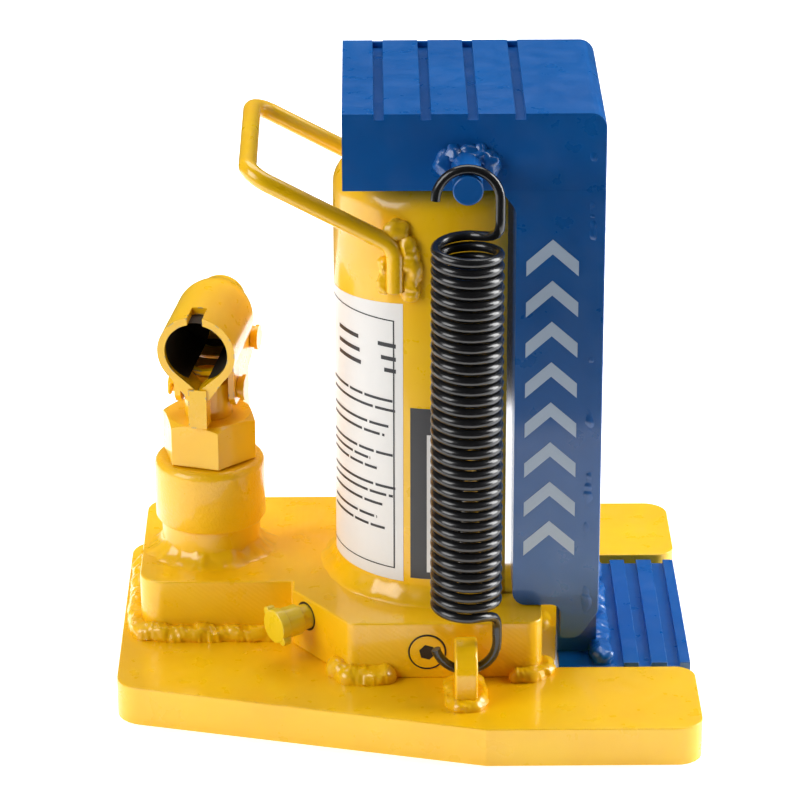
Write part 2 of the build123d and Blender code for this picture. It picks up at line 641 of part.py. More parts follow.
parts["release_valve"] = make_release_valve()
parts["safety_plug"] = make_safety_plug()
parts["safety_spring"] = make_safety_spring()
parts["safety_ball"] = Pos(PLUG_X, -BLOCK_HALF + 28, GALLERY_Z) * Sphere(3)


# Welds

def make_ring_weld(x, y, z, radius, leg):
    """A fillet weld round the foot of an upright tube."""
    return Pos(x, y, 0) * turned([(radius, z), (radius + leg, z), (radius, z + leg)])


def make_side_weld(x0, x1, y, z, leg):
    """A fillet weld along X at the foot of a face that looks to the front."""
    face = make_face(Polyline((x0, y, z), (x0, y - leg, z), (x0, y, z + leg), close=True))
    return extrude(face, amount=x1 - x0, dir=(1, 0, 0))


def make_cylinder_weld():
    ring = make_ring_weld(0, 0, BLOCK_TOP, TUBE_R, 6)
    return ring - block(20, 60, -60, 60, BLOCK_TOP - 1, BLOCK_TOP + 10)


def make_block_welds():
    beads = [make_side_weld(BLOCK_LEFT + 8, STEP_END[0] - 8, PUMP_FACE_Y, PLATE_THICK, 5),
             make_side_weld(-34, -14, -BLOCK_HALF, PLATE_THICK, 5),
             make_side_weld(19, 31, -BLOCK_HALF, PLATE_THICK, 5)]
    beads += [mirrored(make_side_weld(-100, -60, -BLOCK_HALF, PLATE_THICK, 5)), mirrored(beads[1]),
              mirrored(beads[2])]
    return Compound(children=beads)


def make_lug_weld():
    """The bead in front of the front spring lug."""
    wide = LUG_THICK / 2
    return make_side_weld(SPRING_X - wide, SPRING_X + wide, -LUG_FRONT, PLATE_THICK, 4)


def make_handle_weld():
    """The bead between the upright end of the handle and the cylinder, on its front side."""
    bead = block(BAR_FOOT[0] + 2, BAR_FOOT[0] + 9.5, -BAR_Y - 1.5, -30, BAR_FOOT[1], BAR_BEND[1] + 2)
    bead -= post(0, 0, 160, 210, TUBE_R)
    return bead - parts["carry_handle"]


def make_toe_weld():
    face = make_face(Polyline((HEAD_RIGHT, -HEAD_HALF, TOE_FLOOR), (HEAD_RIGHT + 7, -HEAD_HALF, TOE_FLOOR),
                              (HEAD_RIGHT, -HEAD_HALF, TOE_FLOOR + 7), close=True))
    return extrude(face, amount=2 * HEAD_HALF, dir=(0, 1, 0))


parts["cylinder_weld"] = make_cylinder_weld()
parts["pump_weld"] = make_ring_weld(PUMP_X, PUMP_Y, BLOCK_TOP, STUB_R, 6)
parts["block_welds"] = make_block_welds()
parts["front_lug_weld"] = make_lug_weld()
parts["back_lug_weld"] = mirrored(make_lug_weld())
parts["handle_welds"] = Compound(children=[make_handle_weld(), mirrored(make_handle_weld())])
parts["toe_weld"] = make_toe_weld()

os.makedirs("parts", exist_ok=True)
for name, solid in parts.items():
    export_step(solid, f"parts/{name}.step")
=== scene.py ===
import bpy
import json
import math
from mathutils import Matrix, Vector, noise
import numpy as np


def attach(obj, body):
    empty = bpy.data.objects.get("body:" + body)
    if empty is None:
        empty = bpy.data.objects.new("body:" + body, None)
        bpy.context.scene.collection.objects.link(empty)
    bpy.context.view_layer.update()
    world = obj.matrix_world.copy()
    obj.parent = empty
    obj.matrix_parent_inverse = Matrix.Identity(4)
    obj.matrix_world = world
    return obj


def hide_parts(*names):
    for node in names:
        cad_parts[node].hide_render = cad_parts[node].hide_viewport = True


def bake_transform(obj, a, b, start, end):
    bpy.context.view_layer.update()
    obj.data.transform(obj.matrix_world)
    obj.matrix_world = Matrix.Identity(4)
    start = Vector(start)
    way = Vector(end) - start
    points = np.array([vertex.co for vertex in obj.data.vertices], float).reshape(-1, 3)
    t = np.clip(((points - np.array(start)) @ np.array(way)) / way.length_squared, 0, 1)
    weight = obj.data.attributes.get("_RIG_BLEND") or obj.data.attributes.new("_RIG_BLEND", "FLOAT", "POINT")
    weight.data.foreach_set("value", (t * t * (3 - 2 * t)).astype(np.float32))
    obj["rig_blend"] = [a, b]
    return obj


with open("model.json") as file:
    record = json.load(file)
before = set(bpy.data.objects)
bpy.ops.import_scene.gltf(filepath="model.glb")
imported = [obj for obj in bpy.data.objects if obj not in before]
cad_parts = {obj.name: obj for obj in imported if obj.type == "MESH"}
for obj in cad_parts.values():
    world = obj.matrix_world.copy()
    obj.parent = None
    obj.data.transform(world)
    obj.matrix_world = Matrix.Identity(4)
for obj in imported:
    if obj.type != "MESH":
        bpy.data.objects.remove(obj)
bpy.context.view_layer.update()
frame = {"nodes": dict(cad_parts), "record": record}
nodes = frame["nodes"]
MM = 0.001

# Driving sizes in millimetres: X to the toe, Z up, origin on the ram axis under the base
PLATE_TOP = 16
PLATE_LEFT, PLATE_RIGHT, PLATE_HALF, PLATE_TAIL_HALF = -128.5, 100, 105, 66.5
TAPER_X = 16
SLOT_HALF, SLOT_END = 52, 24.5
VALVE_ALONG, VALVE_LEAN = 0.24, 0.85
BLOCK_TOP, BLOCK_LEFT, BLOCK_RIGHT, BLOCK_HALF = 40, -121, 39.5, 61
STEP_NEAR, STEP_FAR, PUMP_FACE = (-36.5, -61), (-59.2, -30), -22
TUBE_R, TUBE_TOP = 42, 212
HEAD_LEFT, HEAD_RIGHT, HEAD_HALF, HEAD_LOW, HEAD_TOP = -38, 62, 46, 214.5, 245
HEAD_ROUND = 6
GROOVES, GROOVE_WIDTH, GROOVE_DEPTH = (-24.1, -6.3, 11.4, 29.3), 4, 2.4
CHEEK_LEFT, CHEEK_LOW, CHEEK_INNER, WEB_LEFT, LEG_LOW = 28, 40.5, 34, 46.5, 26
TOE_TIP, TOE_HALF, TOE_LOW, TOE_FLOOR, RIB_TOP = 99, 48, 1.5, 14, 15.7
RIBS = ((72.4, 78.5), (83.4, 89.8), (94.7, TOE_TIP))
SPRING_X, SPRING_Y, WIRE_R, COIL_R = 8.8, 74, 1.9, 12.1
COIL_LOW, COIL_HIGH, TURNS, LOW_HOOK_Z, HIGH_HOOK_Z = 53, 203.5, 35, 38.3, 220.8
PIN_Z, PIN_R, PIN_END = 225.2, 5.75, 76.8
PUMP = Vector((-93, 14, 0))
PUMP_TURN = math.radians(-10.8)
STUB_R, STUB_TOP, COLLAR_R, COLLAR_TOP = 20, 54, 22.3, 81
BAR_R, BAR_Y, BAR_BEND = 3.5, 42, 9
GALLERY_Z, PLUG_X, PLUG_R = 27.5, -6, 7
SOCKET_FRONT, SOCKET_Z, SOCKET_TILT, BORE_R, BORE_DEPTH = -20, 133.6, 4.5, 12.6, 33.8


# Mesh helpers

def add_mesh(name, points, faces, material, sharp=35):
    """A smooth-shaded mesh from points in millimetres."""
    mesh = bpy.data.meshes.new(name)
    mesh.from_pydata([[c * MM for c in p] for p in points], [], faces)
    mesh.validate()
    mesh.materials.append(material)
    mesh.shade_smooth()
    mesh.set_sharp_from_angle(angle=math.radians(sharp))
    piece = bpy.data.objects.new(name, mesh)
    bpy.context.scene.collection.objects.link(piece)
    return piece


def soften(piece, width, segments=3, angle=32):
    """Rounds the sharp edges of a piece by a width in millimetres."""
    bevel = piece.modifiers.new("rounded_edges", "BEVEL")
    bevel.width = width * MM
    bevel.segments = segments
    bevel.limit_method = "ANGLE"
    bevel.angle_limit = math.radians(angle)
    bevel.harden_normals = True
    return piece


def settle(piece, body, *stands_for):
    """Puts a finished piece on a body, in place of the CAD nodes it is drawn for."""
    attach(piece, body)
    if stands_for:
        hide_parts(*stands_for)
    return piece


def mirrored(points):
    return [(x, -y, z) for x, y, z in points]


def arc(cx, cy, radius, start, end, steps=8):
    """Points on an arc, from start to end in degrees."""
    turns = [math.radians(start + (end - start) * k / steps) for k in range(steps + 1)]
    return [(cx + radius * math.cos(a), cy + radius * math.sin(a)) for a in turns]


def rounded(corners, steps=6):
    """An outline from (x, y, radius) corners, each corner rounded to its radius."""
    outline = []
    count = len(corners)
    for k, (x, y, radius) in enumerate(corners):
        here = Vector((x, y))
        before = (Vector(corners[k - 1][:2]) - here).normalized()
        after = (Vector(corners[(k + 1) % count][:2]) - here).normalized()
        if radius <= 0:
            outline.append((x, y))
            continue
        half = before.angle(after) / 2
        reach = radius / math.tan(half)
        centre = here + (before + after).normalized() * radius / math.sin(half)
        first, last = here + before * reach, here + after * reach
        for step in range(steps + 1):
            way = (first - centre).lerp(last - centre, step / steps).normalized()
            outline.append(tuple(centre + way * radius))
    return outline


def plan_plate(name, outline, low, high, material):
    """A plate with an outline in plan."""
    count = len(outline)
    points = [(x, y, low) for x, y in outline] + [(x, y, high) for x, y in outline]
    faces = [list(range(count))[::-1], list(range(count, 2 * count))]
    faces += [[k, (k + 1) % count, count + (k + 1) % count, count + k] for k in range(count)]
    return add_mesh(name, points, faces, material)


def side_plate(name, outline, y0, y1, material):
    """A plate with an (x, z) outline seen from the front."""
    count = len(outline)
    points = [(x, y0, z) for x, z in outline] + [(x, y1, z) for x, z in outline]
    faces = [list(range(count)), list(range(count, 2 * count))[::-1]]
    faces += [[(k + 1) % count, k, count + k, count + (k + 1) % count] for k in range(count)]
    return add_mesh(name, points, faces, material)


def lathe(name, profile, x, y, material, closed=False, segments=96):
    """A turned piece from a (radius, z) profile."""
    rows = len(profile)
    points = []
    for r, z in profile:
        for k in range(segments):
            a = 2 * math.pi * k / segments
            points.append((x + r * math.cos(a), y + r * math.sin(a), z))
    faces = []
    for row in range(rows if closed else rows - 1):
        upper = (row + 1) % rows
        for k in range(segments):
            nxt = (k + 1) % segments
            faces.append([row * segments + k, row * segments + nxt, upper * segments + nxt,
                          upper * segments + k])
    if not closed:
        faces.append(list(range(segments))[::-1])
        faces.append([(rows - 1) * segments + k for k in range(segments)])
    return add_mesh(name, points, faces, material)


def frames_along(path):
    """A side and an up direction at each point of a path, turning as little as possible."""
    tangents = []
    for k, point in enumerate(path):
        ahead = path[min(k + 1, len(path) - 1)]
        behind = path[max(k - 1, 0)]
        tangents.append((ahead - behind).normalized())
    side = tangents[0].orthogonal().normalized()
    frames = []
    for tangent in tangents:
        side = (side - tangent * side.dot(tangent)).normalized()
        frames.append((side, tangent.cross(side)))
    return tangents, frames


def tube(name, path, radius, material, sides=14, shape=None):
    """A round bar along a path; shape(share, angle) scales the radius."""
    path = [Vector(p) for p in path]
    _, frames = frames_along(path)
    points = []
    for k, (centre, (side, up)) in enumerate(zip(path, frames)):
        for s in range(sides):
            a = 2 * math.pi * s / sides
            r = radius * (shape(k, a) if shape else 1)
            points.append(tuple(centre + (side * math.cos(a) + up * math.sin(a)) * r))
    faces = []
    for k in range(len(path) - 1):
        for s in range(sides):
            nxt = (s + 1) % sides
            faces.append([k * sides + s, k * sides + nxt, (k + 1) * sides + nxt, (k + 1) * sides + s])
    faces.append(list(range(sides))[::-1])
    faces.append([(len(path) - 1) * sides + s for s in range(sides)])
    return add_mesh(name, points, faces, material, sharp=50)


def resample(path, step):
    """Points at even steps along a path."""
    out = [Vector(path[0])]
    for start, end in zip(path, path[1:]):
        start, end = Vector(start), Vector(end)
        count = max(1, round((end - start).length / step))
        out += [start.lerp(end, k / count) for k in range(1, count + 1)]
    return out


def bead(name, path, radius, material, seed=1, ripple=2.4, rough=0.16):
    """A weld bead: a lumpy bar with the scalloped ripples that a weld leaves."""
    step = 0.5
    path = resample(path, step)
    count = len(path)
    wander = [Vector(noise.noise_vector(Vector((k * step / 9, seed, 7)))) * radius * 0.14 for k in range(count)]
    path = [point + shift for point, shift in zip(path, wander)]

    def shape(k, a):
        along = k * step + 0.5 * radius * math.cos(a)
        scallop = abs(math.sin(math.pi * along / ripple + 2 * noise.noise(Vector((k * step / 7, seed, 3)))))
        lump = noise.noise(Vector((k * step / 6, 1.3 * math.cos(a) + seed, 1.3 * math.sin(a))))
        lump += 0.35 * noise.noise(Vector((k * step / 1.6, 2.5 * math.cos(a), 2.5 * math.sin(a) + seed)))
        end = min(k, count - 1 - k) * step / radius
        taper = math.sqrt(max(0.02, 1 - max(0, 1 - end) ** 2))
        return (0.95 + 0.045 * scallop + rough * lump) * taper

    return tube(name, path, radius, material, sides=20, shape=shape)


def blob(name, centre, size, material, seed=1, rough=0.2):
    """A rounded lump of weld metal."""
    rings, sides = 14, 22
    points = []
    for ring in range(rings + 1):
        polar = math.pi * ring / rings
        for s in range(sides):
            a = 2 * math.pi * s / sides
            way = Vector((math.sin(polar) * math.cos(a), math.sin(polar) * math.sin(a), math.cos(polar)))
            lump = 1 + rough * noise.noise(way * 1.7 + Vector((seed, seed, seed)))
            points.append([c + w * d * lump for c, w, d in zip(centre, way, size)])
    faces = []
    for ring in range(rings):
        for s in range(sides):
            nxt = (s + 1) % sides
            faces.append([ring * sides + s, (ring + 1) * sides + s, (ring + 1) * sides + nxt,
                          ring * sides + nxt])
    return add_mesh(name, points, faces, material, sharp=60)


def join(name, pieces):
    """One piece from several."""
    for other in bpy.context.selected_objects:
        other.select_set(False)
    for piece in pieces:
        piece.select_set(True)
    bpy.context.view_layer.objects.active = pieces[0]
    bpy.ops.object.join()
    pieces[0].name = name
    return pieces[0]


def to_pump(point):
    """A point drawn about the plunger axis, moved to its place on the base."""
    return tuple(Matrix.Rotation(PUMP_TURN, 3, "Z") @ Vector(point) + PUMP)


# Materials

def new_material(name, color, roughness, metallic=0.0):
    material = bpy.data.materials.new(name)
    material.use_nodes = True
    shader = material.node_tree.nodes["Principled BSDF"]
    shader.inputs["Base Color"].default_value = (*color, 1)
    shader.inputs["Roughness"].default_value = roughness
    shader.inputs["Metallic"].default_value = metallic
    return material, shader


def add_noise(material, scale, detail=3.0, distortion=0.0):
    tree = material.node_tree
    place = tree.nodes.new("ShaderNodeTexCoord")
    texture = tree.nodes.new("ShaderNodeTexNoise")
    texture.inputs["Scale"].default_value = scale
    texture.inputs["Detail"].default_value = detail
    texture.inputs["Distortion"].default_value = distortion
    tree.links.new(place.outputs["Object"], texture.inputs["Vector"])
    return texture.outputs["Fac"]


def add_range(material, value, low, high, to_low, to_high):
    node = material.node_tree.nodes.new("ShaderNodeMapRange")
    for socket, number in (("From Min", low), ("From Max", high), ("To Min", to_low), ("To Max", to_high)):
        node.inputs[socket].default_value = number
    material.node_tree.links.new(value, node.inputs["Value"])
    return node.outputs["Result"]


def add_mix(material, factor, first, second):
    """Mixes two colours; each is a colour or a socket."""
    tree = material.node_tree
    node = tree.nodes.new("ShaderNodeMix")
    node.data_type = "RGBA"
    tree.links.new(factor, node.inputs["Factor"])
    for socket, color in ((node.inputs[6], first), (node.inputs[7], second)):
        if isinstance(color, tuple):
            socket.default_value = (*color, 1)
        else:
            tree.links.new(color, socket)
    return node.outputs[2]


def add_bump(material, shader, height, strength, distance):
    node = material.node_tree.nodes.new("ShaderNodeBump")
    node.inputs["Strength"].default_value = strength
    node.inputs["Distance"].default_value = distance * MM
    material.node_tree.links.new(height, node.inputs["Height"])
    material.node_tree.links.new(node.outputs["Normal"], shader.inputs["Normal"])


def paint(name, color, shade, roughness, peel):
    """Sprayed enamel: slight colour drift, uneven gloss and an orange-peel surface."""
    material, shader = new_material(name, color, roughness)
    tree = material.node_tree
    drift = add_range(material, add_noise(material, 35, 4), 0.35, 0.7, 0, 1)
    tree.links.new(add_mix(material, drift, color, shade), shader.inputs["Base Color"])
    gloss = add_range(material, add_noise(material, 120, 5), 0.3, 0.7, roughness * 0.8, roughness * 1.35)
    tree.links.new(gloss, shader.inputs["Roughness"])
    add_bump(material, shader, add_noise(material, 420, 2), 0.2, peel)
    shader.inputs["Coat Weight"].default_value = 0.55
    shader.inputs["Coat Roughness"].default_value = 0.08
    shader.inputs["Specular IOR Level"].default_value = 0.5
    return material


YELLOW = (0.95, 0.56, 0.0015)
YELLOW_SHADE = (0.92, 0.50, 0.001)
BLUE = (0.0006, 0.092, 0.35)
BLUE_SHADE = (0.001, 0.106, 0.39)
yellow = paint("yellow_paint", YELLOW, YELLOW_SHADE, 0.30, 0.05)
blue = paint("blue_paint", BLUE, BLUE_SHADE, 0.32, 0.06)
yellow_zinc = paint("yellow_zinc", (0.85, 0.60, 0.010), (0.75, 0.52, 0.010), 0.3, 0.05)


def rough_cast(name, color, shade):
    """Paint over a coarse, pitted surface."""
    material = paint(name, color, shade, 0.34, 0.05)
    shader = material.node_tree.nodes["Principled BSDF"]
    add_bump(material, shader, add_noise(material, 900, 2, 0.4), 0.8, 0.35)
    return material


def milled(name, color, shade):
    """Paint over the fine slanted lines that a milling cutter leaves."""
    material = paint(name, color, shade, 0.3, 0.05)
    tree = material.node_tree
    shader = tree.nodes["Principled BSDF"]
    place = tree.nodes.new("ShaderNodeTexCoord")
    lines = tree.nodes.new("ShaderNodeTexWave")
    turn = tree.nodes.new("ShaderNodeMapping")
    turn.inputs["Rotation"].default_value = (0, math.radians(52), 0)
    lines.inputs["Scale"].default_value = 190
    lines.inputs["Distortion"].default_value = 1.5
    tree.links.new(place.outputs["Object"], turn.inputs["Vector"])
    tree.links.new(turn.outputs["Vector"], lines.inputs["Vector"])
    add_bump(material, shader, lines.outputs["Fac"], 0.35, 0.08)
    return material


yellow_rough = rough_cast("yellow_rough", YELLOW, YELLOW_SHADE)
yellow_milled = milled("yellow_milled", YELLOW, YELLOW_SHADE)


def edge_wear_and_highlight(name, base, edge_color, amount, size):
    """Patches of a second colour on the outer edges: bare metal where the paint is rubbed through on the yellow
    socket, and a painted highlight on the blue toe.
    """
    material = base.copy()
    material.name = name
    tree = material.node_tree
    shader = tree.nodes["Principled BSDF"]
    bevel = tree.nodes.new("ShaderNodeBevel")
    bevel.inputs["Radius"].default_value = size * MM
    bevel.samples = 4
    geometry = tree.nodes.new("ShaderNodeNewGeometry")
    dot = tree.nodes.new("ShaderNodeVectorMath")
    dot.operation = "DOT_PRODUCT"
    tree.links.new(bevel.outputs["Normal"], dot.inputs[0])
    tree.links.new(geometry.outputs["Normal"], dot.inputs[1])
    edge = add_range(material, dot.outputs["Value"], 0.99, 0.8, 0, 1)
    patch = add_range(material, add_noise(material, 260, 5), 0.62 - amount, 0.66 - amount, 0, 1)
    both = tree.nodes.new("ShaderNodeMath")
    both.operation = "MULTIPLY"
    tree.links.new(edge, both.inputs[0])
    tree.links.new(patch, both.inputs[1])
    old = shader.inputs["Base Color"].links[0].from_socket
    tree.links.new(add_mix(material, both.outputs[0], old, edge_color), shader.inputs["Base Color"])
    return material


# painted highlight: light blue patches on the toe's outer edges stand in for edge glints, not bare metal
blue_edge_highlight = edge_wear_and_highlight("blue_edge_highlight", blue, (0.20, 0.36, 0.62), 0.12, 0.5)
yellow_worn = edge_wear_and_highlight("yellow_worn", yellow, (0.20, 0.21, 0.22), 0.06, 1.2)

spring_black, _shader = new_material("black_spring_wire", (0.010, 0.010, 0.011), 0.26)
_shader.inputs["Coat Weight"].default_value = 0.3
chrome, _shader = new_material("hard_chrome", (0.78, 0.78, 0.80), 0.09, 1)
steel, _shader = new_material("bare_steel", (0.45, 0.45, 0.46), 0.32, 1)
rubber, _shader = new_material("seal_rubber", (0.02, 0.02, 0.02), 0.6)
white_film, _shader = new_material("white_label", (0.80, 0.79, 0.77), 0.35)
dark_film, _shader = new_material("dark_label", (0.045, 0.045, 0.05), 0.35)
ink, _shader = new_material("label_ink", (0.02, 0.02, 0.025), 0.4)
decal_film, _shader = new_material("decal", (0.50, 0.62, 0.78), 0.35)
# painted shade: a flat dark colour put in gaps, holes and the socket's inside, where only shade falls
painted_shade, _shader = new_material("painted_shade", (0.02, 0.012, 0.004), 0.7)

slot_material = {"yellow_paint": yellow, "blue_paint": blue, "black_spring_wire": spring_black,
                 "hard_chrome": chrome, "bare_steel": steel, "seal_rubber": rubber,
                 "white_label": white_film, "dark_label": dark_film, "decal": decal_film}
for entry in frame["record"]["subparts"]:
    cad = nodes[entry["node"]].data
    cad.materials.clear()
    cad.materials.append(slot_material[entry["material_slot"]])


nodes["handle_socket"].data.materials[0] = yellow_worn


# Base

def make_base_plate():
    near = [(PLATE_LEFT, -PLATE_TAIL_HALF, 12), (TAPER_X, -PLATE_HALF, 3), (PLATE_RIGHT, -PLATE_HALF, 10),
            (PLATE_RIGHT, -SLOT_HALF, 8), (SLOT_END, -SLOT_HALF, 0.5)]
    far = [(x, -y, r) for x, y, r in reversed(near)]
    plate = plan_plate("base_plate_body", rounded(near + far), 0, PLATE_TOP, yellow)
    settle(soften(plate, 1.4, 4), "frame", "base_plate")


def make_base_block():
    outline = rounded([(BLOCK_LEFT, PUMP_FACE, 10), (STEP_FAR[0], PUMP_FACE, 1), (*STEP_FAR, 1), (*STEP_NEAR, 5),
                       (BLOCK_RIGHT, -BLOCK_HALF, 7), (BLOCK_RIGHT, -34, 0), (24.6, -34, 0), (24.6, 34, 0),
                       (BLOCK_RIGHT, 34, 0), (BLOCK_RIGHT, BLOCK_HALF, 7), (BLOCK_LEFT, BLOCK_HALF, 12)])
    body = plan_plate("base_block_body", outline, PLATE_TOP, BLOCK_TOP, yellow_milled)
    settle(soften(body, 0.8), "frame", "base_block")


def make_safety_plug():
    """The hex socket plug in the front of the block, with painted shade: a dark ring in the gap round it and a dark
    hexagon in its socket.
    """
    front = -BLOCK_HALF
    # painted shade: a thin dark ring standing in for the shade in the gap round the plug
    ring = tube("plug_gap_shade", [(PLUG_X + (PLUG_R + 0.2) * math.cos(a / 24 * math.pi), front - 0.02,
                              GALLERY_Z + (PLUG_R + 0.2) * math.sin(a / 24 * math.pi)) for a in range(49)],
                0.38, painted_shade, sides=8)
    settle(ring, "frame")
    disc = tube("plug_face", [(PLUG_X, front + 5, GALLERY_Z), (PLUG_X, front - 0.35, GALLERY_Z)], PLUG_R - 0.1,
                yellow, sides=64)
    settle(soften(disc, 0.3), "frame", "safety_plug")
    # painted shade: a dark hexagon standing in for the shade inside the hex socket
    well = tube("plug_socket_shade", [(PLUG_X, front + 3, GALLERY_Z), (PLUG_X, front - 0.45, GALLERY_Z)], 3.3,
                painted_shade, sides=6)
    settle(well, "frame")


make_base_plate()
make_base_block()
make_safety_plug()


def bent(corners, radius, steps=8):
    """A path through 3-D corners with each bend rounded."""
    corners = [Vector(c) for c in corners]
    path = [corners[0]]
    for before, here, after in zip(corners, corners[1:], corners[2:]):
        back, on = (before - here).normalized(), (after - here).normalized()
        half = back.angle(on) / 2
        centre = here + (back + on).normalized() * radius / math.sin(half)
        first = here + back * radius / math.tan(half) - centre
        last = here + on * radius / math.tan(half) - centre
        path += [centre + first.lerp(last, k / steps).normalized() * radius for k in range(steps + 1)]
    return path + [corners[-1]]


def make_carry_handle():
    near = [(-18, -BAR_Y, 172), (-18, -BAR_Y, 190.5), (-74, -BAR_Y, 220.5)]
    corners = near + [(x, -y, z) for x, y, z in reversed(near)]
    bar = tube("carry_handle_bar", resample(bent(corners, BAR_BEND), 2), BAR_R, yellow, sides=24)
    settle(soften(bar, 0.6), "frame", "carry_handle")


def make_spring_lugs():
    """The eye plates: a plate with a rounded top and a round hole, built as rays from the hole."""
    hole_y, hole_z, hole_r = -74, 27, 3.2
    outline = rounded([(-87, 16, 2), (-62, 16, 2), (-62, 38.5, 10.5), (-87, 38.5, 10.5)])
    outline = resample([(y, z, 0) for y, z in outline + outline[:1]], 0.7)[:-1]
    count = len(outline)
    rows = []
    for x in (SPRING_X - 4.5, SPRING_X + 4.5):
        for p in outline:
            rows.append((x, p.x, p.y))
        for p in outline:
            way = (Vector((p.x, p.y)) - Vector((hole_y, hole_z))).normalized() * hole_r
            rows.append((x, hole_y + way.x, hole_z + way.y))
    faces = []
    for k in range(count):
        n = (k + 1) % count
        faces.append([k, count + k, count + n, n])
        faces.append([2 * count + k, 2 * count + n, 3 * count + n, 3 * count + k])
        faces.append([k, n, 2 * count + n, 2 * count + k])
        faces.append([count + n, count + k, 3 * count + k, 3 * count + n])
    for side, points in (("front", rows), ("back", mirrored(rows))):
        lug = add_mesh(side + "_lug_plate", points, faces, yellow)
        settle(soften(lug, 1.3, 4), "frame", side + "_spring_lug")


make_carry_handle()
make_spring_lugs()


# Cylinder and its labels

def make_reservoir():
    profile = [(TUBE_R, BLOCK_TOP)] + arc(TUBE_R - 10, TUBE_TOP - 10, 10, 0, 90)
    profile += [(14.2, TUBE_TOP), (14.2, 200), (37, 200), (37, BLOCK_TOP)]
    tank = lathe("reservoir_shell", profile, 0, 0, yellow, closed=True, segments=144)
    settle(tank, "frame", "reservoir_tube", "ram_gland")


def on_tube(angle, z, lift):
    a = math.radians(angle)
    return ((TUBE_R + lift) * math.sin(a), -(TUBE_R + lift) * math.cos(a), z)


def patch(name, start, end, low, high, lift, material, rise=0):
    """A thin film wrapped on the cylinder between two angles; its top edge may rise to the right."""
    steps = max(2, round((end - start) / 2))
    points, faces = [], []
    for k in range(steps + 1):
        angle = start + (end - start) * k / steps
        points += [on_tube(angle, low, lift), on_tube(angle, high + rise * k / steps, lift)]
    for k in range(steps):
        faces.append([2 * k, 2 * k + 2, 2 * k + 3, 2 * k + 1])
    return add_mesh(name, points, faces, material)


def dashes(name, rows, lift, material):
    """Printed lines as plain dashes: each row is (z, height, [(start, end), ...])."""
    return join(name, [patch(name, start, end, z, z + height, lift, material)
                       for z, height, marks in rows for start, end in marks])


def make_labels():
    left, right, low, high = -82, -21, 48, 162
    settle(patch("white_label_film", left, right, low, high, 0.12, white_film, 4), "frame", "white_label")
    edge = (right - 5.7, right - 4.9)
    rows = [(low + 5, 0.5, [(left, edge[1])]), (high - 4, 0.5, [(left, edge[1])]),
            (low + 5, high - low - 9, [edge])]
    settle(dashes("white_label_frame", rows, 0.2, ink), "frame")
    rows = []
    for line, z in enumerate((147, 141.5, 136.5)):
        rows.append((z, 1.7, [(-36 + 2 * line, -25), (-70, -50 + line)]))
    for line, z in enumerate((124, 120, 113, 109, 101, 97.5, 94, 87, 83.5, 79, 73, 69)):
        stop = -27 - 5 * ((line * 7) % 4)
        cut = -58 + 4 * ((line * 5) % 6)
        rows.append((z, 1.1, [(-79, cut - 1.5), (cut, cut + 11), (cut + 12.5, stop)]))
    settle(dashes("white_label_lines", rows, 0.2, ink), "frame")
    settle(patch("dark_label_film", -17, 12, 50, 123, 0.12, dark_film), "frame", "dark_label")
    settle(patch("dark_label_field", -8, 12, 53, 112, 0.2, white_film), "frame")


make_reservoir()
make_labels()


# Welds on the base

def ring_fillet(name, x, y, inner, reach, height, start, end, seed, rough):
    """A fillet weld round the foot of an upright tube: a hollow slope with an uneven toe."""
    steps, rows = (end - start) // 2, 9
    points = []
    for k in range(steps + 1):
        angle = math.radians(start + (end - start) * k / steps)
        turn = Vector((math.cos(angle), math.sin(angle), 0))
        wave = noise.noise(turn * 2.1 + Vector((seed, 0, 0))) + 0.5 * noise.noise(turn * 6 + Vector((0, seed, 0)))
        wide, tall = reach * (1 + rough * wave), height * (1 + rough * noise.noise(turn * 3 + Vector((0, 0, seed))))
        for row in range(rows):
            share = row / (rows - 1)
            ripple = 0.04 * math.sin(math.pi * share) * noise.noise(Vector((angle * 9, share * 3, seed)))
            out = wide * (1 - math.cos(share * math.pi / 2) ** 1.25 + ripple)
            up = tall * (1 - math.sin(share * math.pi / 2) ** 1.25 + ripple)
            r = inner - 0.3 + out
            points.append((x + r * turn.x, y + r * turn.y, BLOCK_TOP - 0.2 + up))
    faces = []
    for k in range(steps):
        for row in range(rows - 1):
            here, there = k * rows + row, (k + 1) * rows + row
            faces.append([here, here + 1, there + 1, there])
    return add_mesh(name, points, faces, yellow, sharp=80)


def make_base_welds():
    settle(ring_fillet("cylinder_bead", 0, 0, TUBE_R, 7.2, 8.5, 62, 298, 3, 0.22), "frame", "cylinder_weld")
    settle(ring_fillet("pump_bead", PUMP.x, PUMP.y, STUB_R, 7.6, 6.5, 0, 360, 5, 0.45), "frame", "pump_weld")
    front = [(-66, -24.2, 17.4), (-112, -24.2, 17.4), (-119.5, -22, 17.4), (-122.6, -15, 17.4),
             (-122.8, 12, 17.4), (-122.8, 48, 17.4)]
    runs = [(front, 4.3), ([(-44, -52, 17.4), (-37, -62.5, 17.4), (-18, -62.8, 17.4)], 5.0),
            ([(26, -62.8, 17.2), (35, -62.4, 17.2), (41, -57, 17.2), (41.3, -48, 17.2)], 3.6),
            ([(-110, 63, 17.4), (-62, 63, 17.4)], 4.6), ([(-30, 63, 17.4), (12, 63, 17.4)], 4.6)]
    beads = [bead(f"block_bead_{k}", path, radius, yellow, k + 11, 3.2, 0.3)
             for k, (path, radius) in enumerate(runs)]
    settle(join("block_beads", beads), "frame", "block_welds")


def make_lug_welds():
    for side, sign in (("front", 1), ("back", -1)):
        left, right = SPRING_X - 5.4, SPRING_X + 5.4
        path = [(left, -64, 17), (left, -84, 17), (left + 2, -88.4, 17), (right - 2, -88.4, 17),
                (right, -84, 17), (right, -64, 17)]
        path = [(x, y * sign, z) for x, y, z in path]
        settle(bead(side + "_lug_bead", path, 2.9, yellow, 23 + sign, 2.8, 0.35), "frame",
               side + "_lug_weld")


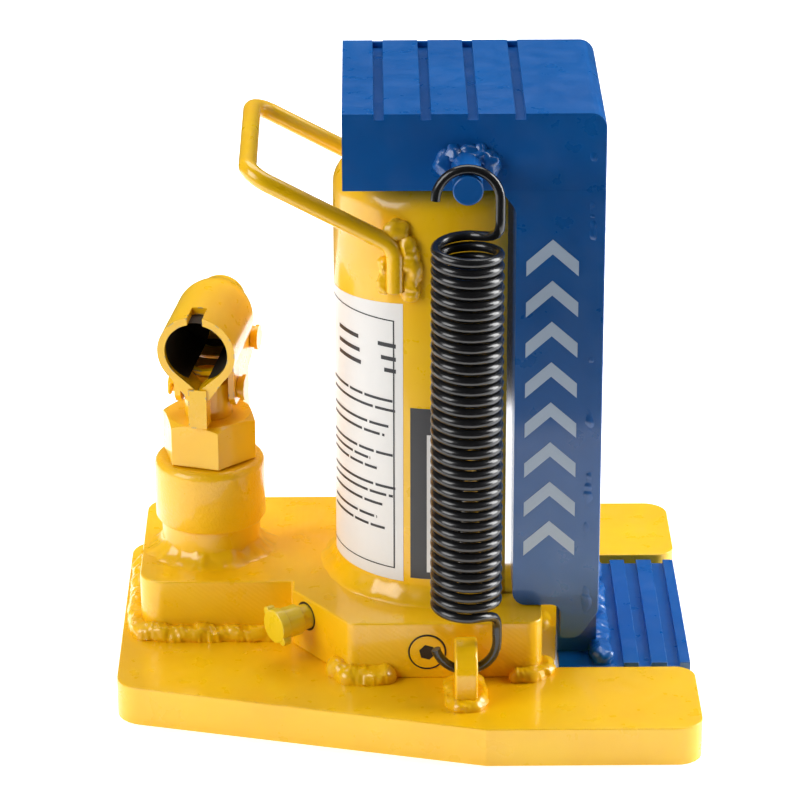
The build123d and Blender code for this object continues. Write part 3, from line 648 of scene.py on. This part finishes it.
def make_handle_welds():
    pieces = []
    for sign in (1, -1):
        right = [(-12.4, -40.2 * sign, 167), (-11.6, -40.6 * sign, 181), (-14.5, -40.6 * sign, 195)]
        left = [(-22, -39.8 * sign, 170), (-22.4, -39.8 * sign, 186)]
        pieces.append(bead("handle_bead", right, 4.3, yellow, 31 + sign, 3.6, 0.3))
        pieces.append(bead("handle_bead_left", left, 2.6, yellow, 35 + sign, 3.0, 0.4))
        pieces.append(blob("handle_lump", (-17.5, -40.2 * sign, 196), (5.5, 3, 5), yellow, 33 + sign, 0.3))
    settle(join("handle_beads", pieces), "frame", "handle_welds")


make_base_welds()
make_lug_welds()
make_handle_welds()


# Lifting carriage

def weigh_edges(piece, chosen):
    """Gives a bevel weight to the edges whose two ends both satisfy chosen(x, y, z)."""
    mesh = piece.data
    weights = mesh.attributes.new("bevel_weight_edge", "FLOAT", "EDGE")
    for edge in mesh.edges:
        ends = [mesh.vertices[v].co / MM for v in edge.vertices]
        weights.data[edge.index].value = min(chosen(*end) for end in ends)
    bevel = piece.modifiers.new("seam_round", "BEVEL")
    bevel.width = 5 * MM
    bevel.segments = 7
    bevel.limit_method = "WEIGHT"


def seam_weight(x, y, z):
    """One on the upright front and back edges on the toe side, fading out over the top curve."""
    if x < HEAD_RIGHT - 9.9 or z < LEG_LOW + 10:
        return 0
    return max(0.0, min(1.0, (HEAD_TOP - z) / 9)) if z > HEAD_TOP - 10 else 1.0


def make_head():
    corners = [(HEAD_LEFT, HEAD_LOW, 0), (HEAD_RIGHT, HEAD_LOW, 0), (HEAD_RIGHT, HEAD_TOP, HEAD_ROUND)]
    for centre in reversed(GROOVES):
        right, left = centre + GROOVE_WIDTH / 2, centre - GROOVE_WIDTH / 2
        corners += [(right, HEAD_TOP, 0), (right, HEAD_TOP - GROOVE_DEPTH, 0.4),
                    (left, HEAD_TOP - GROOVE_DEPTH, 0.4), (left, HEAD_TOP, 0)]
    corners.append((HEAD_LEFT, HEAD_TOP, 0))
    head = side_plate("head_block", rounded(corners), -HEAD_HALF, HEAD_HALF, blue)
    weigh_edges(head, seam_weight)
    settle(soften(head, 0.8), "carriage", "head")
    floor = HEAD_TOP - GROOVE_DEPTH - 0.5
    stops = [side_plate("groove_stop", [(c - 2.4, floor), (c + 2.4, floor), (c + 2.4, HEAD_TOP - 0.25),
                                        (c - 2.4, HEAD_TOP - 0.25)], HEAD_HALF - 2, HEAD_HALF - 0.3, blue)
             for c in GROOVES]
    settle(join("groove_stops", stops), "carriage")


def make_cheeks():
    outline = rounded([(CHEEK_LEFT - 6, HEAD_LOW, 0), (CHEEK_LEFT, HEAD_LOW - 8, 7), (CHEEK_LEFT, CHEEK_LOW, 5),
                       (WEB_LEFT + 0.6, CHEEK_LOW, 4), (WEB_LEFT + 0.6, LEG_LOW, 1), (HEAD_RIGHT - 8, LEG_LOW, 4),
                       (HEAD_RIGHT, LEG_LOW + 11, 3), (HEAD_RIGHT, HEAD_LOW, 0)])
    for side, sign in (("front", -1), ("back", 1)):
        y0, y1 = sorted((sign * HEAD_HALF, sign * CHEEK_INNER))
        cheek = side_plate(side + "_cheek_plate", outline, y0, y1, blue)
        weigh_edges(cheek, lambda x, y, z: seam_weight(x, y, z) if abs(y) > HEAD_HALF - 1 else 0)
        settle(soften(cheek, 0.5), "carriage", side + "_cheek")
        seam = bead(side + "_seam_bead", [(57, sign * 41, LEG_LOW + 8), (57, sign * 41, HEAD_TOP - 11)], 5.05,
                    blue, 41 + sign, 4.5, 0.05)
        settle(seam, "carriage")


def make_toe():
    corners = [(WEB_LEFT, TOE_LOW, 0.5), (TOE_TIP - 3, TOE_LOW, 2), (TOE_TIP, TOE_LOW + 4, 1)]
    for start, end in reversed(RIBS):
        corners += [(end, RIB_TOP, 0), (start, RIB_TOP, 0), (start, TOE_FLOOR, 0.3)]
        if start > RIBS[0][0]:
            previous = max(rib_end for _, rib_end in RIBS if rib_end < start)
            corners.append((previous, TOE_FLOOR, 0.3))
    corners.append((WEB_LEFT, TOE_FLOOR, 0.5))
    # the toe's material paints a highlight on its outer edges
    toe = side_plate("toe_body", rounded(corners), -TOE_HALF, TOE_HALF, blue_edge_highlight)
    settle(soften(toe, 0.35, 2), "carriage", "toe_plate")
    path = [(HEAD_RIGHT + 1.8, -TOE_HALF + 1, TOE_FLOOR + 1.6), (HEAD_RIGHT + 1.8, TOE_HALF - 1, TOE_FLOOR + 1.6)]
    settle(bead("toe_bead", path, 4.4, blue, 51, 3.2, 0.3), "carriage", "toe_weld")


def make_spring_pins():
    lumps = [(-8, 0, 4.6, 5.6), (8.2, 0.5, 4.8, 5.8), (0, 3.6, 6.5, 4.2), (-4.5, 3.5, 4, 4), (5, 3.5, 4.2, 4.2), (0, -5, 6, 3)]
    for side, sign in (("front", -1), ("back", 1)):
        pin = tube(side + "_pin_bar", [(SPRING_X, sign * 44, PIN_Z), (SPRING_X, sign * PIN_END, PIN_Z)], PIN_R,
                   blue, sides=40)
        settle(soften(pin, 0.7), "carriage", side + "_spring_pin")
        pieces = [blob("pin_lump", (SPRING_X + dx, sign * HEAD_HALF, PIN_Z + dz), (wide, 4.6, tall), blue,
                       61 + k * 3 + sign, 0.35)
                  for k, (dx, dz, wide, tall) in enumerate(lumps)]
        settle(join(side + "_pin_bead", pieces), "carriage", side + "_pin_weld")


def make_decal():
    """A column of plain chevrons that point the way the carriage lifts."""
    middle, pieces = 42, []
    for k in range(8):
        low = 62 + 16.8 * k
        outline = [(middle - 10, low), (middle, low + 9), (middle + 10, low), (middle + 10, low + 6),
                   (middle, low + 15), (middle - 10, low + 6)]
        pieces.append(side_plate("chevron", outline, -HEAD_HALF - 0.12, -HEAD_HALF + 0.05, decal_film))
    settle(join("chevrons", pieces), "carriage", "front_decal")


make_head()
make_cheeks()
make_toe()
make_spring_pins()
make_decal()


# Return springs

def spring_path():
    """The wire's centre line about the spring's own axis, from the lower hook to the upper one."""
    path = [(COIL_R * math.cos(a), 0, LOW_HOOK_Z + COIL_R * math.sin(a))
            for a in [math.radians(-165 + 165 * k / 14) for k in range(15)]]
    path += resample([path[-1], (COIL_R, 0, COIL_LOW - 3)], 1.5)[1:]
    low_turn = len(path)
    per_turn = 30
    total = TURNS * per_turn
    for k in range(3, total - 2):
        a = 2 * math.pi * k / per_turn
        path.append((COIL_R * math.cos(a), -COIL_R * math.sin(a), COIL_LOW + (COIL_HIGH - COIL_LOW) * k / total))
    high_turn = len(path)
    path += resample([(COIL_R, 0, COIL_HIGH + 3), (COIL_R, 0, HIGH_HOOK_Z)], 1.5)
    path += [(COIL_R * math.cos(a), 0, HIGH_HOOK_Z + COIL_R * math.sin(a))
             for a in [math.radians(180 * k / 16) for k in range(1, 17)]]
    return relaxed(relaxed(path, low_turn), high_turn)


def relaxed(path, middle):
    """Rounds off a path for a few points either side of one of them."""
    path = [Vector(p) for p in path]
    for _ in range(6):
        before = [p.copy() for p in path]
        for k in range(middle - 4, middle + 4):
            path[k] = before[k] * 0.5 + (before[k - 1] + before[k + 1]) * 0.25
    return path


def make_springs():
    sides = 12
    for side, sign in (("front", -1), ("back", 1)):
        path = [(x + SPRING_X, sign * (SPRING_Y - y), z) for x, y, z in spring_path()]
        wire = tube(side + "_spring_wire", path, WIRE_R, spring_black, sides=sides)
        low = (SPRING_X * MM, sign * SPRING_Y * MM, COIL_LOW * MM)
        high = (SPRING_X * MM, sign * SPRING_Y * MM, COIL_HIGH * MM)
        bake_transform(wire, "frame", "carriage", low, high)
        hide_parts(side + "_spring")
        # each cross-section of the wire follows its centre, so the wire stays round when the coil opens
        weights = wire.data.attributes["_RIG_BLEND"].data
        for k, point in enumerate(path):
            share = max(0.0, min(1.0, (point[2] - COIL_LOW) / (COIL_HIGH - COIL_LOW)))
            for s in range(sides):
                weights[k * sides + s].value = share


make_springs()


# Hand pump

def make_pump():
    stub = lathe("pump_stub", [(STUB_R, BLOCK_TOP), (STUB_R, STUB_TOP + 0.5)], PUMP.x, PUMP.y, yellow)
    settle(stub, "frame", "pump_base")
    profile = [(STUB_R, STUB_TOP), (COLLAR_R - 0.8, STUB_TOP), (COLLAR_R, STUB_TOP + 1.2),
               (COLLAR_R, COLLAR_TOP - 4)]
    profile += arc(COLLAR_R - 3.4, COLLAR_TOP - 3.8, 3.4, 0, 90)
    profile += [(17, COLLAR_TOP - 0.4), (10, COLLAR_TOP - 0.4), (10, STUB_TOP)]
    collar = lathe("pump_collar_ring", profile, PUMP.x, PUMP.y, yellow_rough, closed=True)
    settle(collar, "frame", "pump_collar")


def make_nut():
    """A hexagon whose upper corners are turned off, built as rays from its centre."""
    apothem, cone_r, top, low = 17.2, 17.0, 99, COLLAR_TOP + 0.3
    turn = 12.4 - 90
    rows = [[], [], [], [], []]
    count = 120
    for k in range(count):
        local = 360 * k / count
        r = apothem / math.cos(math.radians((local % 60) - 30))
        a = math.radians(local + turn)
        side_top = top - max(0, r - cone_r) * 0.62
        for row, (rr, z) in enumerate(((10, low), (r, low), (r, side_top), (min(r, cone_r), top), (9.7, top))):
            rows[row].append((PUMP.x + rr * math.cos(a), PUMP.y + rr * math.sin(a), z))
    faces = []
    for row in range(4):
        for k in range(count):
            n = (k + 1) % count
            faces.append([row * count + k, row * count + n, (row + 1) * count + n, (row + 1) * count + k])
    nut = add_mesh("gland_nut_body", [p for row in rows for p in row], faces, yellow, sharp=25)
    settle(soften(nut, 0.35, 2, 40), "frame", "gland_nut")


def make_release_valve():
    """The thumb screw, seen as a neck, a barrel and a round head with two ears."""
    near, far = Vector((*STEP_NEAR, 32)), Vector((*STEP_FAR, 32))
    start = far.lerp(near, VALVE_ALONG)
    run = (far - near).normalized()
    out = Vector((-run.y, run.x, 0))
    lean = Vector((0, 0, 1)) * math.cos(VALVE_LEAN) + run * math.sin(VALVE_LEAN)
    pieces = [tube("valve_neck", [start - out * 3, start + out * 12], 5.1, yellow_zinc, sides=40),
              tube("valve_barrel", [start + out * 4.5, start + out * 12], 6.2, yellow_zinc, sides=40),
              tube("valve_head", [start + out * 12, start + out * 16], 6.9, yellow_zinc, sides=56)]
    for sign in (-1, 1):
        place = start + lean * sign * 7
        pieces.append(tube("valve_ear", [place + out * 12.2, place + out * 15.8], 1.9, yellow_zinc, sides=24))
    settle(soften(join("valve_screw", pieces), 0.5), "valve", "release_valve")
    # painted shade: a dark disc standing in for the shade in the hole round the screw's foot
    gap = tube("valve_hole_shade", [start - out * 1, start + out * 0.05], 6, painted_shade, sides=40)
    settle(gap, "frame")


def make_socket_shade():
    """Painted shade for the unlit inside of the handle socket, behind its mouth: dark sheets, not a lining; its
    belly stays open over the plunger.
    """
    slope = math.radians(SOCKET_TILT)
    along = Vector((0, math.cos(slope), math.sin(slope)))
    up = Vector((0, -math.sin(slope), math.cos(slope)))
    mouth = Vector((0, SOCKET_FRONT, SOCKET_Z + SOCKET_FRONT * math.tan(slope)))
    turns = [math.radians(angle) for angle in range(-72, 253, 6)]
    points = []
    for depth, radius in ((2, BORE_R), (BORE_DEPTH, BORE_R), (BORE_DEPTH, 0.2)):
        for a in turns:
            way = Vector((math.cos(a), 0, 0)) + up * math.sin(a)
            points.append(to_pump(mouth + along * depth + way * radius))
    count = len(turns)
    faces = [[row * count + k, (row + 1) * count + k, (row + 1) * count + k + 1, row * count + k + 1]
             for row in (0, 1) for k in range(count - 1)]
    bore_shade = add_mesh("bore_shade_sheet", points, faces, painted_shade)
    # painted shade: a flat dark sheet between the lugs behind the plunger, where only shade falls
    corners = [to_pump((p, 13.6, z)) for p, z in ((-9.8, 110), (9.8, 110), (9.8, 125), (-9.8, 125))]
    belly_shade = add_mesh("belly_shade_sheet", corners, [[0, 1, 2, 3]], painted_shade)
    settle(join("socket_shade_sheets", [bore_shade, belly_shade]), "lever")


make_pump()
make_nut()
make_socket_shade()
make_release_valve()


# Studio

FLOOR_FRONT, FLOOR_BACK = -320, 420

def make_stage():
    """White paper: a floor under the jack and a backdrop that the paint does not mirror."""
    paper, shader = new_material("white_paper", (0.9, 0.9, 0.9), 0.8)
    shader.inputs["Emission Color"].default_value = (1, 1, 1, 1)
    shader.inputs["Emission Strength"].default_value = 0.62
    wide = 2600
    sweep = [(FLOOR_BACK + x, 500 + z) for x, z in arc(0, 0, 500, -90, 0)] + [(FLOOR_BACK + 500, 2400)]
    for name, profile in (("floor", [(FLOOR_FRONT, 0), (FLOOR_BACK, 0)]), ("backdrop", sweep)):
        points = [(side * wide, y, z) for y, z in profile for side in (-1, 1)]
        faces = [[2 * k, 2 * k + 1, 2 * k + 3, 2 * k + 2] for k in range(len(profile) - 1)]
        sheet = add_mesh(name, points, faces, paper)
        sheet.visible_glossy = name == "floor"


def add_light(name, place, target, size, power, color=(1, 1, 1)):
    data = bpy.data.lights.new(name, "AREA")
    data.shape = "RECTANGLE"
    data.size, data.size_y = size
    data.energy = power
    data.color = color
    light = bpy.data.objects.new(name, data)
    bpy.context.scene.collection.objects.link(light)
    light.location = place
    light.rotation_euler = (Vector(target) - Vector(place)).to_track_quat("-Z", "Y").to_euler()


def make_lights():
    world = bpy.data.worlds.new("studio")
    bpy.context.scene.world = world
    world.use_nodes = True
    world.node_tree.nodes["Background"].inputs["Color"].default_value = (0.95, 0.97, 1, 1)
    world.node_tree.nodes["Background"].inputs["Strength"].default_value = 0.02
    middle = (0, 0, 0.12)
    add_light("left_box", (-1.3, -0.7, 0.9), middle, (1.0, 1.2), 20)
    add_light("top_box", (0.1, 0.6, 1.5), middle, (1.6, 1.0), 16.5)
    add_light("right_box", (1.4, 0.2, 0.6), middle, (0.7, 1.2), 28)


def make_camera():
    """The camera, from where the photographer stood: tilted down and almost square to the front."""
    pitch, yaw, roll = math.radians(22.87), math.radians(0.52), math.radians(-0.14)
    ahead = Vector((math.sin(yaw) * math.cos(pitch), math.cos(yaw) * math.cos(pitch), -math.sin(pitch)))
    right = Vector((math.cos(yaw), -math.sin(yaw), 0))
    up = right.cross(ahead)
    across = right * math.cos(roll) + up * math.sin(roll)
    above = up * math.cos(roll) - right * math.sin(roll)
    data = bpy.data.cameras.new("camera")
    data.sensor_width = 36
    data.lens = 174.2
    camera = bpy.data.objects.new("camera", data)
    bpy.context.scene.collection.objects.link(camera)
    turn = Matrix((across, above, -ahead)).transposed().to_4x4()
    camera.matrix_world = Matrix.Translation((-0.02884, -1.42494, 0.71041)) @ turn
    bpy.context.scene.camera = camera


make_stage()
make_lights()
make_camera()
bpy.context.scene.view_settings.view_transform = "Standard"

bpy.context.view_layer.update()
